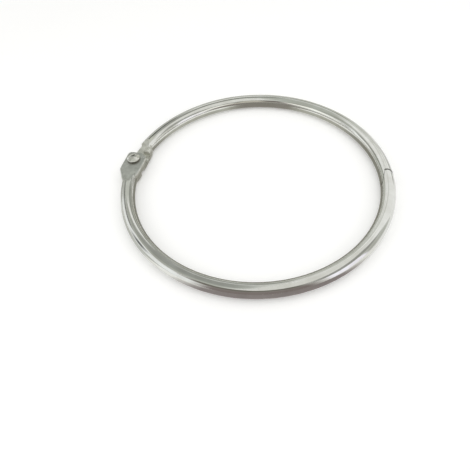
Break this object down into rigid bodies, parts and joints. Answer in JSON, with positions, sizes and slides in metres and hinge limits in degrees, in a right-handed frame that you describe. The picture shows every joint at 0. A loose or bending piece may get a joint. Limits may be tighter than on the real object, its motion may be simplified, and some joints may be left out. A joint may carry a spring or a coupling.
{
  "type": "hinged curtain ring",
  "caption": "Hinged snap ring of round nickel-plated steel wire: half rings riveted through forged ears, closing on a lapped snap, for hanging curtains or binding sheets.",
  "frame": {"origin": "centre of the ring's eye, halfway up the thickness of the wire", "axes": "+Z square to the plane of the ring, -X towards the hinge rivet, +Y towards the rear half"},
  "size_m": [0.0864, 0.0848, 0.0049],
  "materials": {
    "plated_wire": "bright nickel plate on drawn steel wire, dull on the stamped ears",
    "plated_rivet": "bright nickel plate on steel, burnished by setting"
  },
  "bodies": {
    "front": {"front_half": "plated_wire", "hinge_rivet": "plated_rivet"},
    "rear": {"rear_half": "plated_wire"}
  },
  "joints": [
    {"name": "ring_hinge", "type": "hinge", "parent": "front", "child": "rear", "pos_m": [-0.04095, 0, 0], "axis": [0, 0, 1], "range_deg": [0, 130]}
  ]
}
